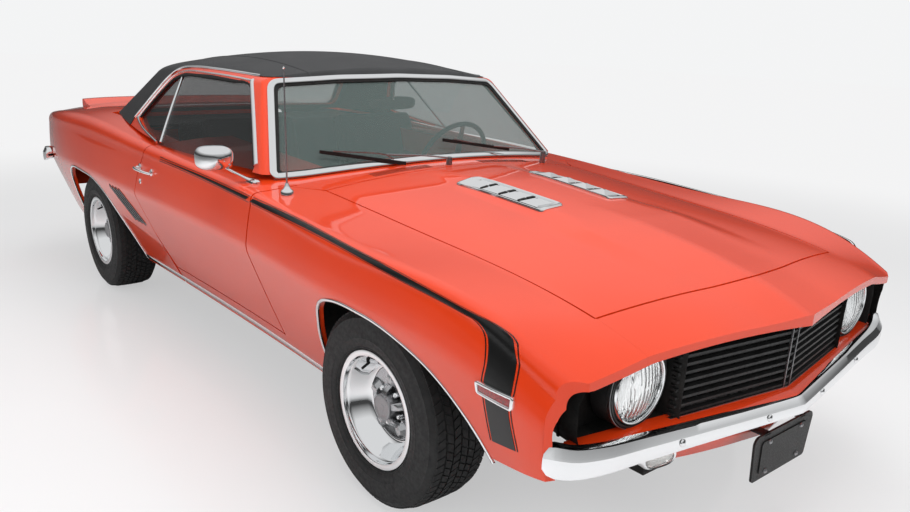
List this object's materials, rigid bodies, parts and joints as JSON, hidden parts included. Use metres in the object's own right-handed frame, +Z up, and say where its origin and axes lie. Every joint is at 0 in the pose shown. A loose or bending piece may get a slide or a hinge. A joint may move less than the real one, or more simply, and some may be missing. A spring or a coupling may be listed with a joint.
{
  "type": "two-door coupe",
  "caption": "Two-door hardtop coupe with a long hood, vinyl roof, opening doors, hood and trunk lid, steered front wheels and wheels that roll",
  "frame": {"origin": "on the ground, on the centre line, midway between the bumpers' outer faces", "axes": "+X to the front of the car, +Y to its left, +Z up"},
  "size_m": [4.724, 1.9462, 1.3489],
  "materials": {
    "body_paint": "gloss orange-red",
    "underbody_black": "satin black",
    "engine_grey": "painted plain block",
    "black_plastic": "satin black",
    "satin_black": "satin black",
    "chrome": "polished",
    "satin_metal": "satin",
    "tinted_glass": "clear, green-grey tint",
    "lamp_glass": "clear lens",
    "black_vinyl": "grained vinyl over steel",
    "red_lens": "moulded lens",
    "cast_metal": "as cast",
    "black_seat": "pleated vinyl",
    "wheel_silver": "satin machined",
    "tyre": "matte"
  },
  "bodies": {
    "body": {"floor_pan": "underbody_black", "trunk_floor": "underbody_black", "firewall": "underbody_black", "front_frame": "underbody_black", "engine_block": "engine_grey", "fender_left": "body_paint", "fender_right": "body_paint", "header_panel": "body_paint", "grille": "black_plastic", "front_lamps": "lamp_glass", "front_valance": "body_paint", "front_bumper": "chrome", "plate_bracket": "satin_black", "cowl_panel": "body_paint", "wipers": "satin_metal", "windshield": "tinted_glass", "roof": "black_vinyl", "fixed_glass": "tinted_glass", "quarter_left": "body_paint", "quarter_right": "body_paint", "rocker_panels": "body_paint", "antenna": "chrome", "deck_filler": "body_paint", "tail_panel": "satin_black", "tail_lamps": "red_lens", "rear_bumper": "chrome", "rear_axle": "underbody_black", "seats": "black_seat", "dashboard": "black_plastic", "inner_mirror": "chrome", "exhaust": "satin_metal"},
    "hood": {"hood": "body_paint", "hood_vents": "chrome"},
    "trunk_lid": {"trunk_lid": "body_paint"},
    "door_left": {"door_left": "body_paint", "door_left_glass": "tinted_glass"},
    "door_right": {"door_right": "body_paint", "door_right_glass": "tinted_glass", "door_mirror": "chrome"},
    "knuckle_left": {"knuckle_left": "cast_metal"},
    "knuckle_right": {"knuckle_right": "cast_metal"},
    "steering_wheel": {"steering_wheel": "black_plastic"},
    "wheel_front_left": {"wheel_front_left": "wheel_silver", "tyre_front_left": "tyre"},
    "wheel_front_right": {"wheel_front_right": "wheel_silver", "tyre_front_right": "tyre"},
    "wheel_rear_left": {"wheel_rear_left": "wheel_silver", "tyre_rear_left": "tyre"},
    "wheel_rear_right": {"wheel_rear_right": "wheel_silver", "tyre_rear_right": "tyre"}
  },
  "joints": [
    {"name": "steer_left", "type": "hinge", "parent": "body", "child": "knuckle_left", "pos_m": [1.432, 0.668, 0.326], "axis": [0, 0, 1], "range_deg": [-30, 30]},
    {"name": "steer_right", "type": "hinge", "parent": "body", "child": "knuckle_right", "pos_m": [1.432, -0.668, 0.326], "axis": [0, 0, 1], "range_deg": [-30, 30]},
    {"name": "steering_wheel_turn", "type": "hinge", "parent": "body", "child": "steering_wheel", "pos_m": [0.3, 0.37, 0.87], "axis": [-0.9272, 0, 0.3746], "range_deg": [-420, 420]},
    {"name": "door_left_hinge", "type": "hinge", "parent": "body", "child": "door_left", "pos_m": [0.586, 0.896, 0.695], "axis": [0, 0, -1], "range_deg": [0, 65]},
    {"name": "door_right_hinge", "type": "hinge", "parent": "body", "child": "door_right", "pos_m": [0.586, -0.896, 0.695], "axis": [0, 0, 1], "range_deg": [0, 65]},
    {"name": "hood_hinge", "type": "hinge", "parent": "body", "child": "hood", "pos_m": [0.818, 0, 0.952], "axis": [0, -1, 0], "range_deg": [0, 50]},
    {"name": "trunk_hinge", "type": "hinge", "parent": "body", "child": "trunk_lid", "pos_m": [-1.398, 0, 1.012], "axis": [0, 1, 0], "range_deg": [0, 70]},
    {"name": "spin_front_left", "type": "hinge", "parent": "knuckle_left", "child": "wheel_front_left", "pos_m": [1.432, 0.757, 0.326], "axis": [0, 1, 0], "continuous": true},
    {"name": "spin_front_right", "type": "hinge", "parent": "knuckle_right", "child": "wheel_front_right", "pos_m": [1.432, -0.757, 0.326], "axis": [0, 1, 0], "continuous": true},
    {"name": "spin_rear_left", "type": "hinge", "parent": "body", "child": "wheel_rear_left", "pos_m": [-1.313, 0.757, 0.326], "axis": [0, 1, 0], "continuous": true},
    {"name": "spin_rear_right", "type": "hinge", "parent": "body", "child": "wheel_rear_right", "pos_m": [-1.313, -0.757, 0.326], "axis": [0, 1, 0], "continuous": true}
  ],
  "couplings": [
    {"joint": "steer_right", "follows": "steer_left", "ratio": 1},
    {"joint": "steering_wheel_turn", "follows": "steer_left", "ratio": 14}
  ]
}
